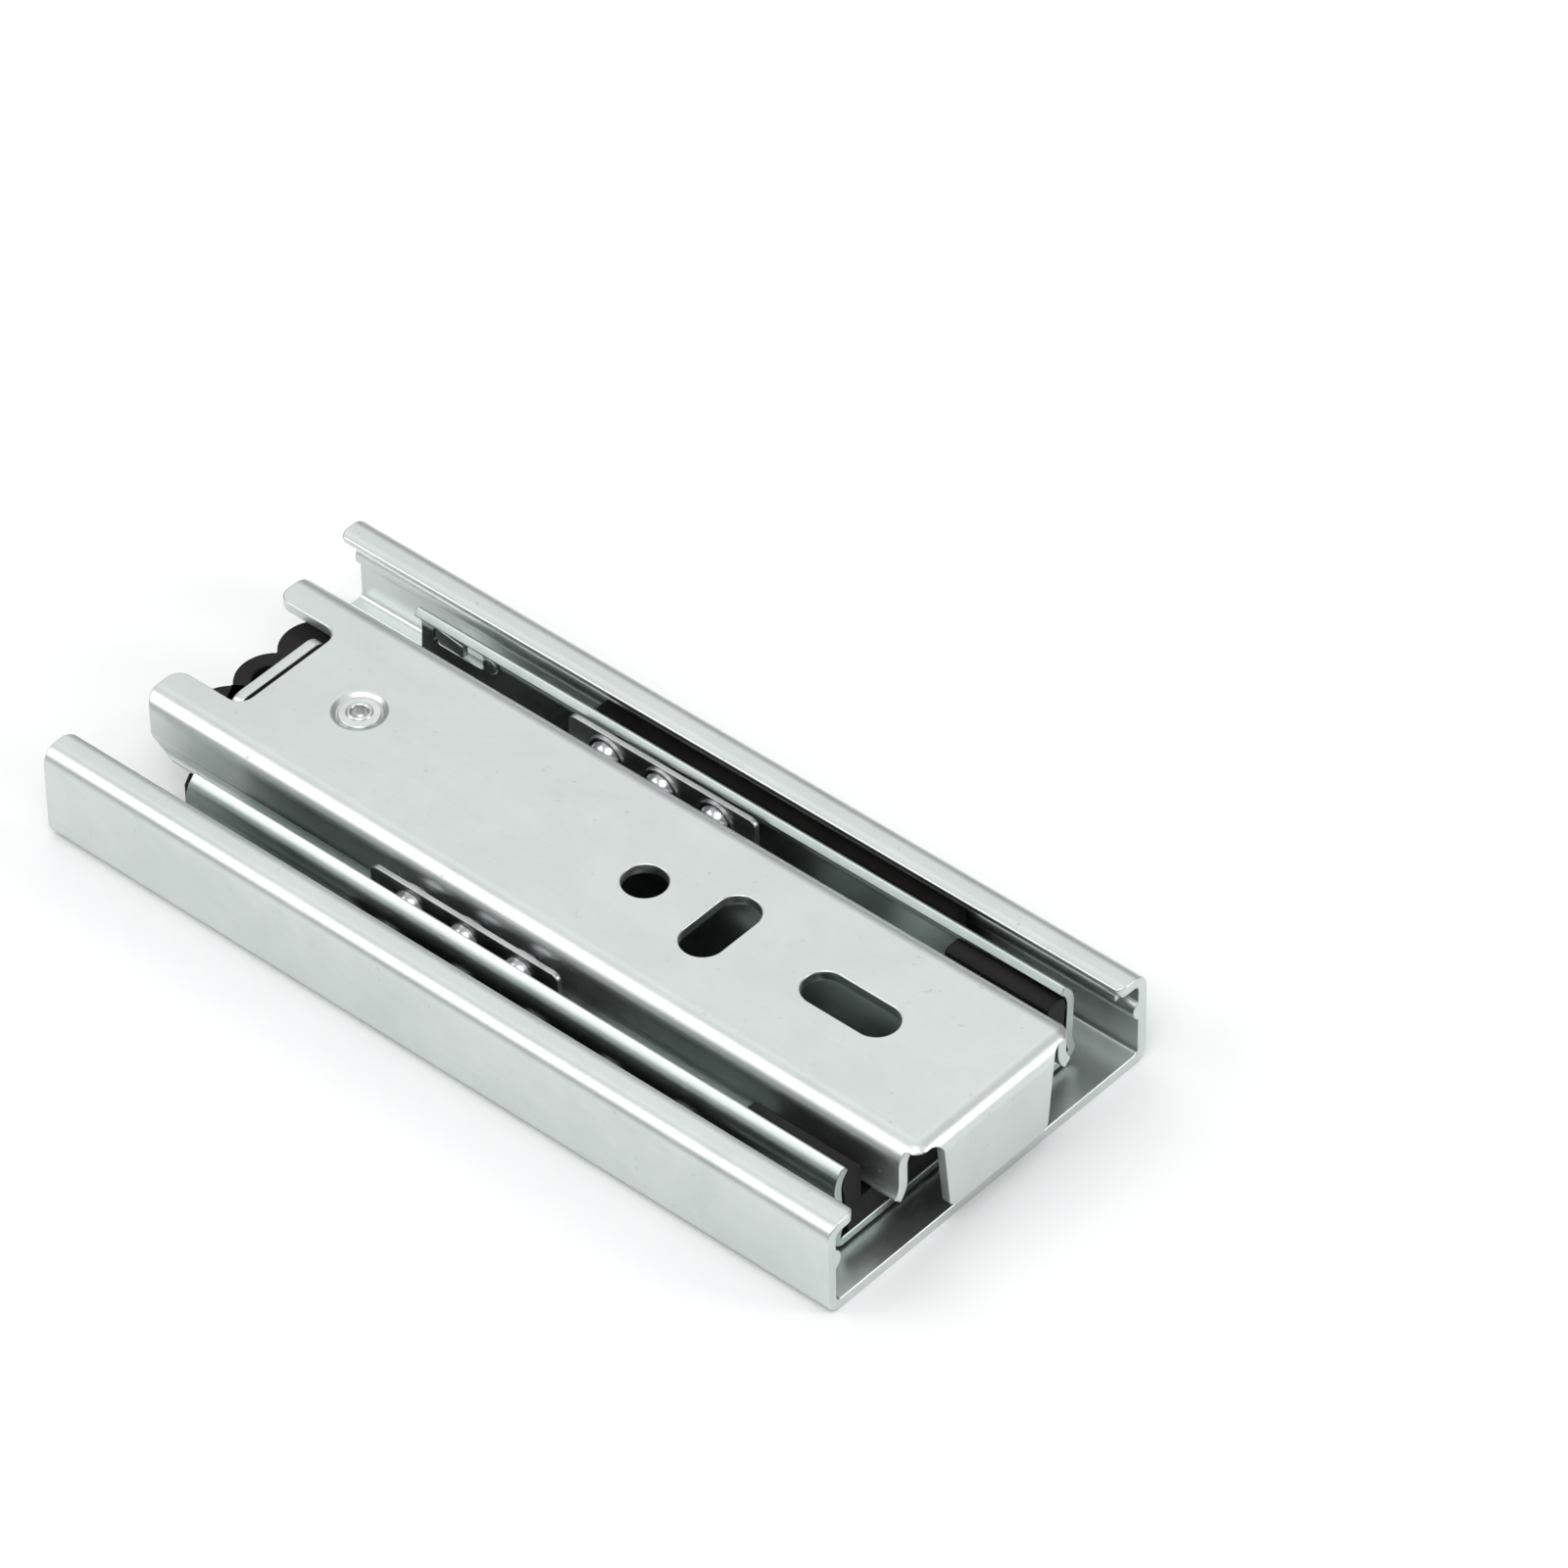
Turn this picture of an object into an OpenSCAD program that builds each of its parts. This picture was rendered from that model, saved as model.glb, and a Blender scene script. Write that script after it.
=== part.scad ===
// Three-section ball bearing drawer slide, closed.
// +X points out of the cabinet, along the travel. +Z points from the cabinet wall to the drawer.
// The origin is the centre of the cabinet member's mounting face.

/* [Overall] */
// Length of the cabinet member
length = 100; // [96:1:110]
// Width over the cabinet member's flanges
width = 45.5; // [45.2:0.1:46.2]
// Thickness from the cabinet face to the drawer face
thickness = 12.7; // [12.6:0.05:12.9]

/* [Cabinet member] */
// Sheet thickness of the cabinet member
cabinet_sheet = 1.2; // [1:0.05:1.2]
// Height of the lips above the mounting face
lip_height = 11.1; // [10.9:0.1:11.6]
// Distance from the outer face to the inner edge of a lip
lip_reach = 3.7; // [3.5:0.1:4.2]
// Width of the tab that carries the rear bumper
tab_width = 12.6; // [11:0.1:12.8]
// Height of that tab
tab_height = 11.8; // [11:0.1:12]

/* [Intermediate member] */
// Sheet thickness of the intermediate member
middle_sheet = 1; // [0.8:0.05:1]
// Distance from the cabinet's front end back to the intermediate member's
middle_front_setback = 4.1; // [4:0.1:5.6]
// Length of the intermediate member
middle_length = 82.4; // [80:0.1:82.4]

/* [Drawer member] */
// Sheet thickness of the drawer member
drawer_sheet = 1.2; // [1:0.05:1.2]
// Distance that the rear arms stop short of the cabinet's rear end
drawer_rear_setback = 3; // [2.6:0.1:3.6]
// Width of the rear notch
notch_width = 13.7; // [13.4:0.1:15]
// Depth of the rear notch
notch_depth = 8.3; // [8:0.1:8.5]
// Height of the front flap's lower edge
flap_bottom = 3; // [2:0.1:4]

/* [Fixing holes] */
// Diameter of the round holes and width of the slots
hole_d = 4.6; // [4:0.1:5]
// Length of the slots that run across the slide
cross_slot = 9.5; // [8:0.1:10]
// Length of the slots that run along the slide
long_slot = 11; // [9:0.1:12]

/* [Balls] */
// Diameter of the balls between drawer and intermediate member
inner_ball_d = 4; // [3.8:0.05:4]
// Diameter of the balls between intermediate and cabinet member
outer_ball_d = 4.5; // [4.3:0.05:4.5]
// Radial clearance between a ball and its race
race_gap = 0.05; // [0.03:0.01:0.08]

/* [Hidden] */
// ends of the three members
cabinet_front = length / 2;
cabinet_rear = -length / 2;
middle_front = cabinet_front - middle_front_setback;
middle_rear = middle_front - middle_length;
drawer_front = cabinet_front;
drawer_rear = cabinet_rear + drawer_rear_setback;

// ball rows: distance from the centre plane, height, places along the slide
half_width = width / 2;
inner_r = inner_ball_d / 2;
outer_r = outer_ball_d / 2;
wall_inside = half_width - cabinet_sheet;
outer_row_y = wall_inside - outer_r - 2 * race_gap;
outer_row_z = 4.6;
inner_row_y = outer_row_y - 5.25;
inner_row_z = 8.9;
inner_count = 3;
inner_pitch = 7;
inner_first = -9.9;
outer_count = 5;
outer_pitch = 9.4;
outer_first = -11.8;

// races, measured on the middle of the sheet
middle_inner_race_r = inner_r + 2 * race_gap + middle_sheet / 2;
middle_outer_race_r = outer_r + 2 * race_gap + middle_sheet / 2;
middle_web_z = 2.1;
middle_flare = 20;
middle_curl = 57;
middle_bend_r = 0.8;

// tangent that joins the two races of the intermediate member
row_dy = outer_row_y - inner_row_y;
row_dz = outer_row_z - inner_row_z;
row_gap = sqrt(row_dy * row_dy + row_dz * row_dz);
tangent_angle = atan2(row_dz, row_dy) + acos((middle_inner_race_r + middle_outer_race_r) / row_gap);

// drawer member section
waist_y = inner_row_y - inner_r - race_gap;
drawer_bend_r = 1.8;
drawer_flare = 48;
drawer_flare_r = inner_r + drawer_sheet / 2;
plate_z = thickness - drawer_sheet / 2;
drawer_inside = waist_y - drawer_sheet;

// cabinet member section
cabinet_bend_r = 1.15;
lip_bend_r = 1.3;
lip_curl_r = 1.5;
lip_curl = 30;
lip_corner_r = 1.6;
ridge_r = 1.3;
ridge_z = 6.65;
ridge_depth = 0.6;

// tab and bumper
tab_x = cabinet_rear + 9.6;
tab_bend_r = 1.2;
lobe_r = 4.05;
lobe_pitch = 6.25;
lobe_x = tab_x - 0.5;
bumper_top = 10;
bumper_front = tab_x + 2.9;

// front stop
stop_rear = middle_front - 12.8;
stop_bar_rear = middle_front - 3.8;
stop_front = middle_front - 0.1;
stop_floor = middle_web_z + middle_sheet / 2;

// drawer fixing holes, measured from the front end
round_hole_x = drawer_front - 42.7;
cross_slot_x = drawer_front - 33.2;
long_slot_x = drawer_front - 17;

// cabinet fixing holes, on the 32 mm system
cabinet_hole_pitch = 32;
cabinet_hole_front = cabinet_front - 37;

// rivet and lever
rivet_x = cabinet_rear + 20.5;
rivet_shank_r = 1.5;
rivet_bore_r = 0.85;
rivet_rim_r = 1.35;
rivet_head_r = 2.15;
rivet_collar_r = 2.5;
dimple_r = 2.8;
dimple_depth = 0.4;
lever_bottom = 8.2;
lever_top = thickness - drawer_sheet - 0.2;
lever_nose_x = stop_rear - 46.5;

steel = [0.80, 0.82, 0.82];
steel_dark = [0.62, 0.65, 0.65];
black = [0.07, 0.07, 0.07];
slack = 0.01;

function numbered(base, count) = [for (i = [1:count]) str(base, i)];
ball_nodes = concat(
    numbered("inner_ball_left_", inner_count), numbered("inner_ball_right_", inner_count),
    numbered("outer_ball_left_", outer_count), numbered("outer_ball_right_", outer_count));

// Points on an arc of centre [cx, cy] from angle a0 to a1, about every 6 degrees
function arc(cx, cy, r, a0, a1) =
    let (n = max(2, ceil(abs(a1 - a0) / 6)))
    [for (i = [0:n]) let (a = a0 + (a1 - a0) * i / n) [cx + r * cos(a), cy + r * sin(a)]];

// One side of a bent sheet: side 1 is left of the direction of travel, -1 is right.
// Each bend is [cx, cy, radius on the middle of the sheet, start angle, end angle].
function sheet_side(bends, t, side) =
    [for (b = bends) let (turn = b[4] > b[3] ? 1 : -1)
        each arc(b[0], b[1], b[2] - side * turn * t / 2, b[3], b[4])];

function reversed(list) = [for (i = [len(list) - 1:-1:0]) list[i]];

// The same bends on the other side of the centre plane, travelled the other way
function mirrored(bends) =
    [for (b = reversed(bends)) [-b[0], b[1], b[2], 180 - b[4], 180 - b[3]]];

// Closed section of a channel whose bends are given for the +Y side
module channel_section(bends, t) {
    path = concat(mirrored(bends), bends);
    polygon(concat(sheet_side(path, t, 1), reversed(sheet_side(path, t, -1))));
}

// Section drawn in Y and Z, carried along X
module along_x(x0, x1) {
    translate([x0, 0, 0]) rotate([90, 0, 90]) linear_extrude(x1 - x0) children();
}

// Section drawn in X and Z, carried across Y
module across_y(y0, y1) {
    translate([0, y1, 0]) rotate([90, 0, 0]) linear_extrude(y1 - y0) children();
}

module both_sides() {
    children();
    mirror([0, 1, 0]) children();
}

// Slot of the given end-to-end length along X
module slot(x, d, run, z0, z1) {
    reach = (run - d) / 2;
    for (s = [-1, 1]) translate([x + s * reach, 0, z0]) cylinder(d = d, h = z1 - z0, $fn = 48);
    translate([x - reach, -d / 2, z0]) cube([2 * reach, d, z1 - z0]);
}

// Slot of the given end-to-end length along Y
module slot_across(x, d, run, z0, z1) {
    translate([x, 0, 0]) rotate([0, 0, 90]) slot(0, d, run, z0, z1);
}

// Rectangle with rounded corners
module rounded_rect(x0, y0, x1, y1, r) {
    polygon(concat(
        arc(x1 - r, y1 - r, r, 0, 90), arc(x0 + r, y1 - r, r, 90, 180),
        arc(x0 + r, y0 + r, r, 180, 270), arc(x1 - r, y0 + r, r, 270, 360)));
}

cabinet_bends = [
    [half_width - cabinet_sheet / 2 - cabinet_bend_r, cabinet_sheet / 2 + cabinet_bend_r,
        cabinet_bend_r, -90, 0],
    [half_width - cabinet_sheet / 2 - lip_bend_r, lip_height - cabinet_sheet / 2 - lip_bend_r,
        lip_bend_r, 0, 90],
    [half_width - lip_reach + lip_curl_r * sin(lip_curl), lip_height - cabinet_sheet / 2 - lip_curl_r,
        lip_curl_r, 90, 90 + lip_curl]];

// Ridge that closes the outer race from above, with its back in the wall
module race_ridge() {
    start = acos(-ridge_depth / ridge_r);
    polygon(concat(
        arc(wall_inside + ridge_depth, ridge_z, ridge_r, start, 360 - start),
        [[wall_inside + ridge_depth, ridge_z - ridge_r * sin(start)],
            [wall_inside + ridge_depth, ridge_z + ridge_r * sin(start)]]));
}

module cabinet_member() {
    color(steel) {
        difference() {
            union() {
                along_x(cabinet_rear, cabinet_front) {
                    channel_section(cabinet_bends, cabinet_sheet);
                    both_sides_2d() race_ridge();
                }
            }
            web_cutout();
            for (end = [-1, 1]) both_sides() scale([end, 1, 1]) lip_corner();
            slot(cabinet_hole_front + 18, hole_d, long_slot, -1, 2);
            for (i = [0, 1]) translate([cabinet_hole_front - i * cabinet_hole_pitch, 0, -1])
                cylinder(d = hole_d, h = 3, $fn = 48);
            slot_across(cabinet_hole_front - 18, hole_d, cross_slot, -1, 2);
        }
        bumper_tab();
        both_sides() retainer_stop();
    }
}

module both_sides_2d() {
    children();
    mirror([1, 0]) children();
}

// What rounds off the inner corner of a lip at the front end
module lip_corner() {
    edge = half_width - lip_reach - 0.6;
    r = lip_corner_r;
    translate([0, 0, lip_height - 3]) linear_extrude(4) difference() {
        translate([cabinet_front - r, edge - 1]) square([r + 1, r + 1]);
        translate([cabinet_front - r, edge + r]) circle(r = r, $fn = 48);
    }
}

// The web ends at the tab, and the flanges run on to the rear end
module web_cutout() {
    reach = half_width - 2.9;
    translate([0, 0, -1]) linear_extrude(3) {
        rounded_rect(cabinet_rear - 4, -reach, tab_x + cabinet_sheet, reach, 1.5);
        both_sides_2d_y() rounded_rect(tab_x - 2, tab_width / 2 - slack, tab_x + 2.4,
            tab_width / 2 + 1.2, 0.55);
    }
}

module both_sides_2d_y() {
    children();
    mirror([0, 1]) children();
}

module bumper_tab() {
    bend_x = tab_x + tab_bend_r;
    path = [[bend_x, cabinet_sheet / 2 + tab_bend_r, tab_bend_r, 270, 180]];
    corner = 1.6;
    intersection() {
        across_y(-tab_width / 2, tab_width / 2) polygon(concat(
            [[bend_x + 0.6, 0]], sheet_side(path, cabinet_sheet, 1),
            [[tab_x - cabinet_sheet / 2, tab_height], [tab_x + cabinet_sheet / 2, tab_height]],
            reversed(sheet_side(path, cabinet_sheet, -1)), [[bend_x + 0.6, cabinet_sheet]]));
        along_x(tab_x - 3, tab_x + 5)
            rounded_rect(-tab_width / 2, -corner, tab_width / 2, tab_height, corner);
    }
}

// Small lanced stop that keeps the outer retainer in its race
module retainer_stop() {
    stop_x = cabinet_front - 2.9;
    translate([stop_x, wall_inside - 2.2, ridge_z + 1.1]) cube([1.2, 2.2 + slack, 1.2]);
}

module rear_bumper() {
    side = lobe_pitch + lobe_r;
    color(black) difference() {
        union() {
            for (s = [-1, 0, 1]) translate([lobe_x, s * lobe_pitch, cabinet_sheet + 0.1])
                cylinder(r = lobe_r, h = bumper_top - cabinet_sheet - 0.1, $fn = 64);
            translate([0, 0, cabinet_sheet]) linear_extrude(bumper_top - cabinet_sheet)
                rounded_rect(lobe_x, -side, bumper_front, side, 1.5);
            both_sides() bumper_wing(side);
        }
        translate([lobe_x, 0, 2.6]) cylinder(r = 2.2, h = bumper_top, $fn = 48);
        translate([tab_x - cabinet_sheet / 2 - 0.05, -tab_width / 2 - 0.05, 0])
            cube([cabinet_sheet + 0.1, tab_width + 0.1, bumper_top + 1]);
        tab_bend_room();
    }
}

// Room for the inside of the tab's bend
module tab_bend_room() {
    translate([tab_x, -tab_width / 2 - 0.05, 0])
        cube([1.4, tab_width + 0.1, cabinet_sheet + 0.75]);
}

// Low curved wing that meets the end of the intermediate member's flange
module bumper_wing(side) {
    r = 6;
    a = 62;
    cx = bumper_front - r;
    translate([0, 0, cabinet_sheet]) linear_extrude(4.4) polygon(concat(
        arc(cx, side - 2.4, r, 0, a), reversed(arc(cx, side - 2.4, r - 1.9, 0, a))));
}

middle_join_angle = 180 + middle_flare;
middle_join = [
    outer_row_y + middle_outer_race_r * cos(middle_join_angle),
    outer_row_z + middle_outer_race_r * sin(middle_join_angle)];
middle_bend_z = middle_web_z + middle_bend_r;
middle_lead = (middle_join[1] - middle_bend_r * sin(middle_flare) - middle_bend_z) / cos(middle_flare);
middle_bends = [
    [middle_join[0] - middle_bend_r * cos(middle_flare) + middle_lead * sin(middle_flare),
        middle_bend_z, middle_bend_r, -90, middle_flare],
    [outer_row_y, outer_row_z, middle_outer_race_r, middle_join_angle, 180 + tangent_angle],
    [inner_row_y, inner_row_z, middle_inner_race_r, tangent_angle, middle_curl]];

module intermediate_member() {
    window_x = middle_rear + 2.2;
    window_run = 6;
    color(steel) {
        difference() {
            along_x(middle_rear, middle_front) channel_section(middle_bends, middle_sheet);
            slot(-6, 9, 18, 1, 4);
            translate([stop_front - 2, 0, 0]) cylinder(r = rivet_shank_r, h = 4, $fn = 32);
            translate([window_x, inner_row_y + 1, inner_row_z - 1.2])
                cube([window_run, 4, 2.4]);
        }
        cage_stop(window_x, window_run);
    }
}

// Tongue bent out of the window, and the dimple beside it
module cage_stop(x, run) {
    face_y = inner_row_y + inner_r + 2 * race_gap;
    translate([x - slack, face_y - 0.5, inner_row_z - 0.8]) cube([run - 2.2, 0.8, 1.6]);
    translate([x - slack, face_y - 0.5, inner_row_z - 0.8]) cube([0.6, 1.2, 1.6]);
    translate([x + run + 1.1, face_y - 0.35, inner_row_z]) rotate([-90, 0, 0])
        cylinder(r = 0.9, h = 0.7, $fn = 32);
}

// Black moulding that closes the front of the inner races and catches the lever
module front_stop() {
    arm_in = waist_y + 1.45;
    arm_top = inner_row_z + 1.3;
    catch_y = -9.6;
    color(black) {
        translate([0, 0, stop_floor]) linear_extrude(3.3)
            rounded_rect(stop_bar_rear, -arm_in - 1, stop_front, arm_in + 1, 0.6);
        both_sides() along_x(stop_rear, stop_front) polygon([
            [arm_in, stop_floor], [inner_row_y + 1.2, stop_floor], [inner_row_y + 1.45, outer_row_z],
            [inner_row_y + 1.75, inner_row_z - 1], [inner_row_y + 1.95, inner_row_z],
            [inner_row_y + 1.6, arm_top - 0.2], [inner_row_y + 1.2, arm_top], [arm_in + 0.3, arm_top],
            [arm_in, arm_top - 0.3]]);
        translate([stop_rear + 0.2, catch_y, stop_floor])
            cube([stop_bar_rear - stop_rear + 0.2, 3.6, 2.4]);
        translate([stop_rear + 0.2, catch_y, stop_floor]) cube([3.2, 3.6, 7.8]);
        translate([stop_front - 2, 0, stop_floor - middle_sheet])
            cylinder(r = rivet_shank_r, h = middle_sheet + slack, $fn = 32);
    }
}

drawer_bends = [
    [waist_y - drawer_sheet / 2 - drawer_bend_r, plate_z - drawer_bend_r, drawer_bend_r, 90, 0],
    [waist_y - drawer_sheet / 2 + drawer_flare_r, inner_row_z - 0.5, drawer_flare_r,
        180, 180 + drawer_flare]];
flap_bend_r = 1.4;
flap_x = drawer_front + 0.7;
flap_half = 7.9;
flap_taper = 1;
nose_rear = flap_x - flap_bend_r;
arch_top = thickness - 0.7;
arch_r = 1.3;

module drawer_member() {
    side_bend_z = plate_z - drawer_bend_r;
    color(steel) difference() {
        union() {
            difference() {
                along_x(drawer_rear, drawer_front) channel_section(drawer_bends, drawer_sheet);
                translate([nose_rear, -half_width, side_bend_z]) cube([length, width, thickness]);
            }
            drawer_nose(side_bend_z);
        }
        rear_notch();
        rear_flange_cut();
        translate([round_hole_x, 0, 11]) cylinder(d = hole_d, h = 3, $fn = 48);
        slot_across(cross_slot_x, hole_d, cross_slot, 11, 14);
        slot(long_slot_x, hole_d, long_slot, 11, 14);
        rivet_dimple();
    }
}

// Block with the plate's side bends and front bend; inset goes in from every outer face
module plate_block(inset) {
    side = waist_y - inset;
    side_r = drawer_bend_r + drawer_sheet / 2 - inset;
    front = flap_x + drawer_sheet / 2 - inset;
    front_r = flap_bend_r + drawer_sheet / 2 - inset;
    top = thickness - inset;
    intersection() {
        along_x(nose_rear - inset, front + 1) polygon(concat(
            [[side, flap_bottom - inset]], arc(side - side_r, top - side_r, side_r, 0, 90),
            arc(side_r - side, top - side_r, side_r, 90, 180), [[-side, flap_bottom - inset]]));
        across_y(-half_width, half_width) polygon(concat(
            [[nose_rear - 2, flap_bottom - 2], [front, flap_bottom - 2]],
            arc(front - front_r, top - front_r, front_r, 0, 90), [[nose_rear - 2, top]]));
    }
}

// Front end of the plate: the bends meet at its corners, and the flap hangs between two arches
module drawer_nose(side_bend_z) {
    difference() {
        plate_block(0);
        plate_block(drawer_sheet);
        both_sides() {
            translate([nose_rear - 1, flap_half, 0])
                cube([drawer_front - nose_rear + 1, half_width, side_bend_z]);
            along_x(drawer_front, drawer_front + 3) arch_outline();
        }
    }
}

// Outline of one arch, with the flap's tapered side and round lower corner
module arch_outline() {
    low = flap_half - flap_taper;
    corner = 0.8;
    difference() {
        polygon(concat(
            [[low - corner, 0], [half_width, 0], [half_width, arch_top]],
            arc(flap_half + arch_r, arch_top - arch_r, arch_r, 90, 175),
            [[low - corner, flap_bottom]]));
        polygon(concat(
            [[low - corner - 1, arch_top - arch_r], [flap_half, arch_top - arch_r]],
            arc(low - corner, flap_bottom + corner, corner, -8, -90), [[low - corner - 1, flap_bottom]]));
    }
}

// Open notch that clears the tab and bumper, and round corners on the two arms
module rear_notch() {
    half = notch_width / 2;
    tip = 1.6;
    edge = waist_y + 0.15;
    translate([0, 0, 5]) linear_extrude(10) {
        rounded_rect(drawer_rear - 4, -half, drawer_rear + notch_depth, half, 1.6);
        both_sides_2d_y() difference() {
            translate([drawer_rear - 1, half - 1]) square([tip + 1, edge - half + 3]);
            rounded_rect(drawer_rear, half, drawer_rear + 4 * tip, edge, tip);
            translate([drawer_rear + tip, half - 2]) square([4, edge]);
        }
    }
}

// The flanges' lower edges rise towards the rear end
module rear_flange_cut() {
    across_y(-half_width, half_width) polygon([
        [drawer_rear - 1, 5], [drawer_rear + 7, 5], [drawer_rear + 6, 6.3], [drawer_rear, 8.4],
        [drawer_rear - 1, 8.4]]);
}

module rivet_dimple() {
    floor_z = thickness - dimple_depth;
    translate([rivet_x, 0, 10]) cylinder(r = rivet_shank_r + 0.01, h = 4, $fn = 48);
    translate([rivet_x, 0, floor_z])
        cylinder(r1 = rivet_head_r + 0.15, r2 = dimple_r, h = dimple_depth + slack, $fn = 48);
}

// Semi-tubular rivet: head in the dimple with a rolled rim round its bore, collar under the lever
module lever_rivet() {
    head_z = thickness - dimple_depth;
    head_top = thickness - 0.2;
    rim_r = (rivet_rim_r - rivet_bore_r) / 2;
    edge_r = 0.16;
    bore_floor = thickness - 1.3;
    color(steel) translate([rivet_x, 0, 0]) rotate_extrude($fn = 64) polygon(concat(
        [[0, 7.5], [rivet_collar_r, 7.5], [rivet_collar_r, lever_bottom - 0.1],
            [rivet_shank_r, lever_bottom - 0.1], [rivet_shank_r, head_z], [rivet_head_r, head_z]],
        arc(rivet_head_r - edge_r, head_top - edge_r, edge_r, 0, 90),
        arc(rivet_bore_r + rim_r, head_top - 0.05, rim_r, 10, 180),
        [[rivet_bore_r, bore_floor], [0, bore_floor]]));
}

// Flat lever that turns on the rivet, with a nose that catches the front stop
module release_lever() {
    nose_y = -7.8;
    tail = [rivet_x - 4.2, 5.5];
    color(black) difference() {
        union() {
            translate([rivet_x, 0, lever_bottom]) cylinder(r = 3.4, h = lever_top - lever_bottom, $fn = 48);
            translate([0, 0, lever_bottom]) linear_extrude(lever_top - lever_bottom) {
                hull() {
                    translate([rivet_x + 1, -1.4]) circle(r = 1.9, $fn = 32);
                    translate([rivet_x + 8, -5.6]) circle(r = 1.5, $fn = 32);
                }
                hull() {
                    translate([rivet_x + 8, -5.6]) circle(r = 1.5, $fn = 32);
                    translate([lever_nose_x - 2, nose_y]) circle(r = 1.2, $fn = 32);
                }
                hull() {
                    translate([rivet_x, 1]) circle(r = 2.2, $fn = 32);
                    translate(tail) circle(r = 1.6, $fn = 32);
                }
            }
            translate([lever_nose_x - 3, nose_y - 1.2, 6.4]) cube([3, 2.4, lever_top - 6.4]);
        }
        translate([rivet_x, 0, 7]) cylinder(r = rivet_shank_r + 0.05, h = 6, $fn = 48);
    }
}

function inner_x(i) = inner_first + (i - 1) * inner_pitch;
function outer_x(i) = outer_first + (i - 1) * outer_pitch;

// Thin steel cage: a strip on each side of the drawer member, joined under it
module inner_ball_cage() {
    strip_t = 0.6;
    strip_in = inner_row_y - strip_t / 2;
    rear = inner_first - 5;
    front = inner_x(inner_count) + 5;
    floor_z = stop_floor + 0.3;
    color(steel_dark) difference() {
        union() {
            both_sides() across_y(strip_in, strip_in + strip_t)
                rounded_rect(rear, inner_row_z - 2.65, front, inner_row_z + 2.6, 0.9);
            both_sides() along_x(inner_x(1) - 1, inner_x(inner_count) + 1)
                translate([strip_in, floor_z]) square([strip_t, 4]);
            translate([inner_x(1) - 1, -strip_in - strip_t, floor_z])
                cube([(inner_count - 1) * inner_pitch + 2, 2 * (strip_in + strip_t), strip_t]);
            both_sides() for (i = [1:inner_count]) ball_collar(inner_x(i), strip_in);
        }
        for (i = [1:inner_count]) translate([inner_x(i), 0, inner_row_z])
            rotate([90, 0, 0]) cylinder(r = inner_r + 0.06, h = width, center = true, $fn = 48);
    }
}

module ball_collar(x, strip_in) {
    translate([x, strip_in - 0.35, inner_row_z]) rotate([-90, 0, 0])
        cylinder(r = inner_r + 0.35, h = 0.4, $fn = 48);
}

// Moulded strip that spaces the balls of one outer race; side is 1 on the left
module outer_retainer(side) {
    strip_t = 1.7;
    color(black) mirror([0, side > 0 ? 0 : 1, 0]) difference() {
        across_y(outer_row_y - strip_t / 2, outer_row_y + strip_t / 2)
            rounded_rect(outer_first - 4.2, 1.9, outer_x(outer_count) + 4.2, 8.6, 0.8);
        for (i = [1:outer_count]) translate([outer_x(i), 0, outer_row_z]) rotate([-90, 0, 0])
            cylinder(r = outer_r + 0.06, h = width, $fn = 48);
    }
}

module ball(x, y, z, r) {
    color(steel) translate([x, y, z]) sphere(r = r, $fn = 48);
}

cabinet_member();
rear_bumper();
intermediate_member();
front_stop();
drawer_member();
lever_rivet();
release_lever();
inner_ball_cage();
outer_retainer(1);  // outer_retainer_left
outer_retainer(-1);  // outer_retainer_right
for (side = [1, -1]) {
    hand = side > 0 ? "left_" : "right_";
    for (i = [1:inner_count]) ball(inner_x(i), side * inner_row_y, inner_row_z, inner_r);
    for (i = [1:outer_count]) ball(outer_x(i), side * outer_row_y, outer_row_z, outer_r);
}
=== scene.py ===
import math

import bmesh
import bpy
from mathutils import Matrix, Vector


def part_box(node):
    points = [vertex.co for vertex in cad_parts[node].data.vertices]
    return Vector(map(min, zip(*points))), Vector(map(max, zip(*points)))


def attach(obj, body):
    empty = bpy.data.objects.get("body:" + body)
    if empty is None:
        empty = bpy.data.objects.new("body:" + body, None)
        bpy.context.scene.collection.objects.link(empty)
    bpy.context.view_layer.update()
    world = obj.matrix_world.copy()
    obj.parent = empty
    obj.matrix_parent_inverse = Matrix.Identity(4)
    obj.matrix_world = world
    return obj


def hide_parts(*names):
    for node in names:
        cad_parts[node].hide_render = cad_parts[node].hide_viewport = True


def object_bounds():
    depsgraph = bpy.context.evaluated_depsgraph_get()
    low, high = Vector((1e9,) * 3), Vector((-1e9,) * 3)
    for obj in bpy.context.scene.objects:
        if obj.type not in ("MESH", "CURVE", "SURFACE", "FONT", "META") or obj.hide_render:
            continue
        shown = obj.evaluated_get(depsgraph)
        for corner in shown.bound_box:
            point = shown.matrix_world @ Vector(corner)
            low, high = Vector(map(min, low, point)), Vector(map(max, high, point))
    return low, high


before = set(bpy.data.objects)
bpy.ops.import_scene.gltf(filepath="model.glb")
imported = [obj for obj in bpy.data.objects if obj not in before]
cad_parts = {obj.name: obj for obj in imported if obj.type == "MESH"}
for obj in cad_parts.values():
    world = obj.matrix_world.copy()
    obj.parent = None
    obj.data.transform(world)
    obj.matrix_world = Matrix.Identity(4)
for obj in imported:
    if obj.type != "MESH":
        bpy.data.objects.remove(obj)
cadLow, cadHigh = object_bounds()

mm = 0.001
tiny = 1e-6


def leaveEdit():
    if bpy.context.object and bpy.context.object.mode != "OBJECT":
        bpy.ops.object.mode_set(mode="OBJECT")
    bpy.ops.object.select_all(action="DESELECT")


def takeUp(piece):
    leaveEdit()
    piece.select_set(True)
    bpy.context.view_layer.objects.active = piece


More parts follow.
